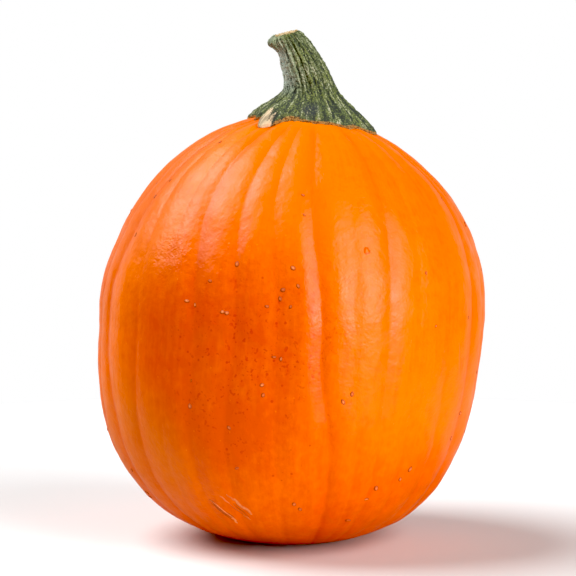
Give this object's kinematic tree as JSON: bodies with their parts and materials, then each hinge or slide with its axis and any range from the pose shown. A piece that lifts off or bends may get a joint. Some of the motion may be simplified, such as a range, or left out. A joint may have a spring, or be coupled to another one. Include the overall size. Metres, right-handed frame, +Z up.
{
  "type": "pumpkin",
  "caption": "Ripe orange pumpkin, a tall ribbed fruit with a leaning crown, standing on a small flat spot, with a dried, ridged and lobed stem.",
  "frame": {"origin": "middle of the small flat spot that the fruit stands on", "axes": "+Z up from the flat spot towards the stem, -Y towards the side that the picture shows, +X to that side's right"},
  "size_m": [0.2291, 0.2284, 0.3013],
  "materials": {
    "skin": null,
    "stem_bark": "dry and fibrous, dark green with paler ridges and a pale cut end"
  },
  "bodies": {
    "root": {"fruit": "skin", "stem": "stem_bark"}
  },
  "joints": []
}
